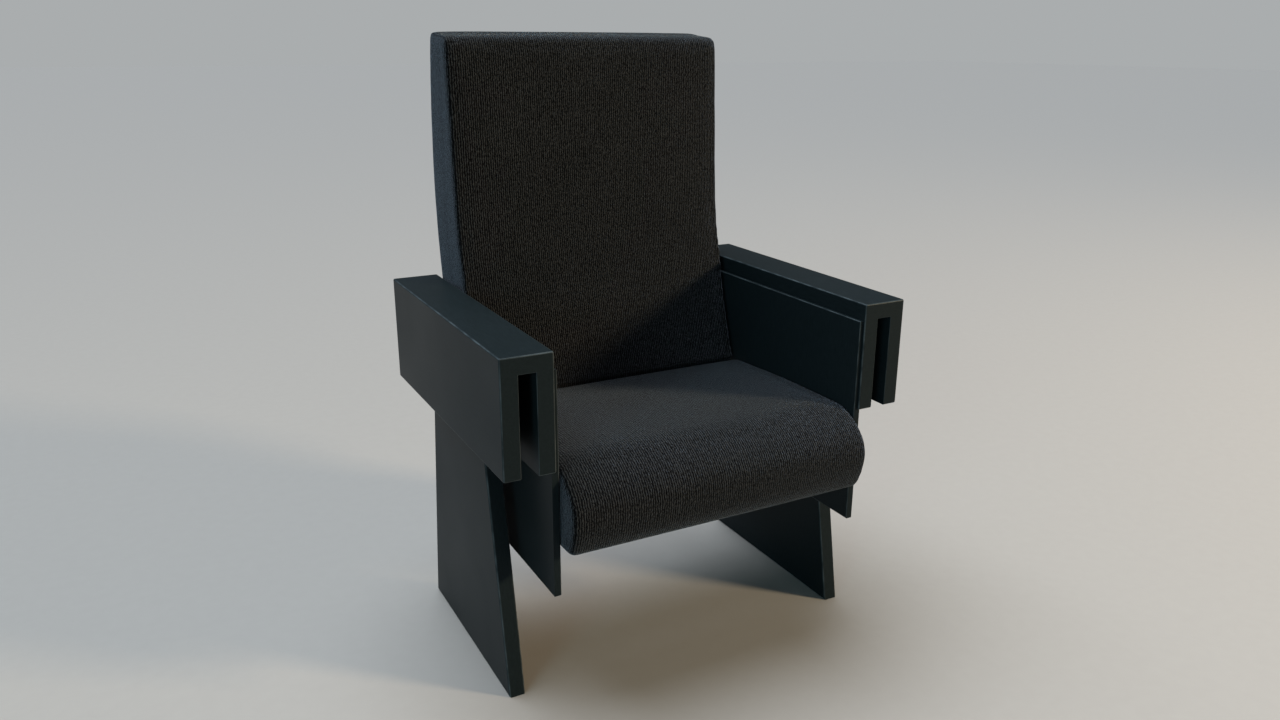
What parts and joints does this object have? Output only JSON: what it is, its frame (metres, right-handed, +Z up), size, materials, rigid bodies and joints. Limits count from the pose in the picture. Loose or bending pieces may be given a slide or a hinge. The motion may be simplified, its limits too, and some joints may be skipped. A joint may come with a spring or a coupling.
{
  "type": "tip up auditorium seat",
  "caption": "Auditorium seat with slab legs, hollow box armrests, a curved upholstered back and a waterfall-front seat that tips up between side panels.",
  "frame": {"origin": "on the floor, under the middle of the bounding box", "axes": "+Z up, the sitter faces -Y, +X is to the sitter's left (the viewer's right)"},
  "size_m": [0.741, 0.6315, 1.06],
  "materials": {
    "lacquered_board": "dark satin lacquer",
    "black_board": "black stain, matt",
    "hardwood": "plain",
    "plywood": "plain plywood",
    "fabric": "coarse woven charcoal",
    "coated_steel": "black powder coat",
    "bright_steel": "zinc plated",
    "spring_steel": "oiled",
    "rubber": "matt",
    "bearing_plastic": "plain"
  },
  "bodies": {
    "root": {"left_leg": "lacquered_board", "left_arm_outer_board": "lacquered_board", "left_arm_top_board": "lacquered_board", "left_arm_inner_board": "lacquered_board", "left_side_panel": "lacquered_board", "left_pivot_plate": "bright_steel", "left_pivot_pin": "bright_steel", "left_stop_peg": "bright_steel", "left_stop_sleeve": "rubber", "left_back_bracket": "coated_steel", "right_leg": "lacquered_board", "right_arm_outer_board": "lacquered_board", "right_arm_top_board": "lacquered_board", "right_arm_inner_board": "lacquered_board", "right_side_panel": "lacquered_board", "right_pivot_plate": "bright_steel", "right_pivot_pin": "bright_steel", "right_stop_peg": "bright_steel", "right_stop_sleeve": "rubber", "right_back_bracket": "coated_steel", "back_cushion": "fabric", "floor_inserts": "bright_steel", "leg_screws": "bright_steel", "panel_dowels": "hardwood", "mitre_keys": "hardwood", "back_core": "plywood", "back_rear_panel": "lacquered_board", "rear_panel_clips": "bearing_plastic", "back_bracket_screws": "bright_steel", "tie_rail": "coated_steel", "tie_rail_bolts": "bright_steel", "pivot_plate_screws": "bright_steel"},
    "seat": {"seat_cushion": "fabric", "seat_frame": "coated_steel", "seat_platform": "plywood", "seat_under_cover": "black_board", "cover_screws": "bright_steel", "hinge_plate_bolts": "bright_steel", "left_hinge_plate": "coated_steel", "left_hinge_bush": "bearing_plastic", "left_torsion_spring": "spring_steel", "right_hinge_plate": "coated_steel", "right_hinge_bush": "bearing_plastic", "right_torsion_spring": "spring_steel"}
  },
  "joints": [
    {"name": "seat_tip", "type": "hinge", "parent": "root", "child": "seat", "pos_m": [0, 0.02675, 0.368], "axis": [-1, 0, 0], "range_deg": [0, 78], "deforming": ["left_torsion_spring", "right_torsion_spring"]}
  ]
}
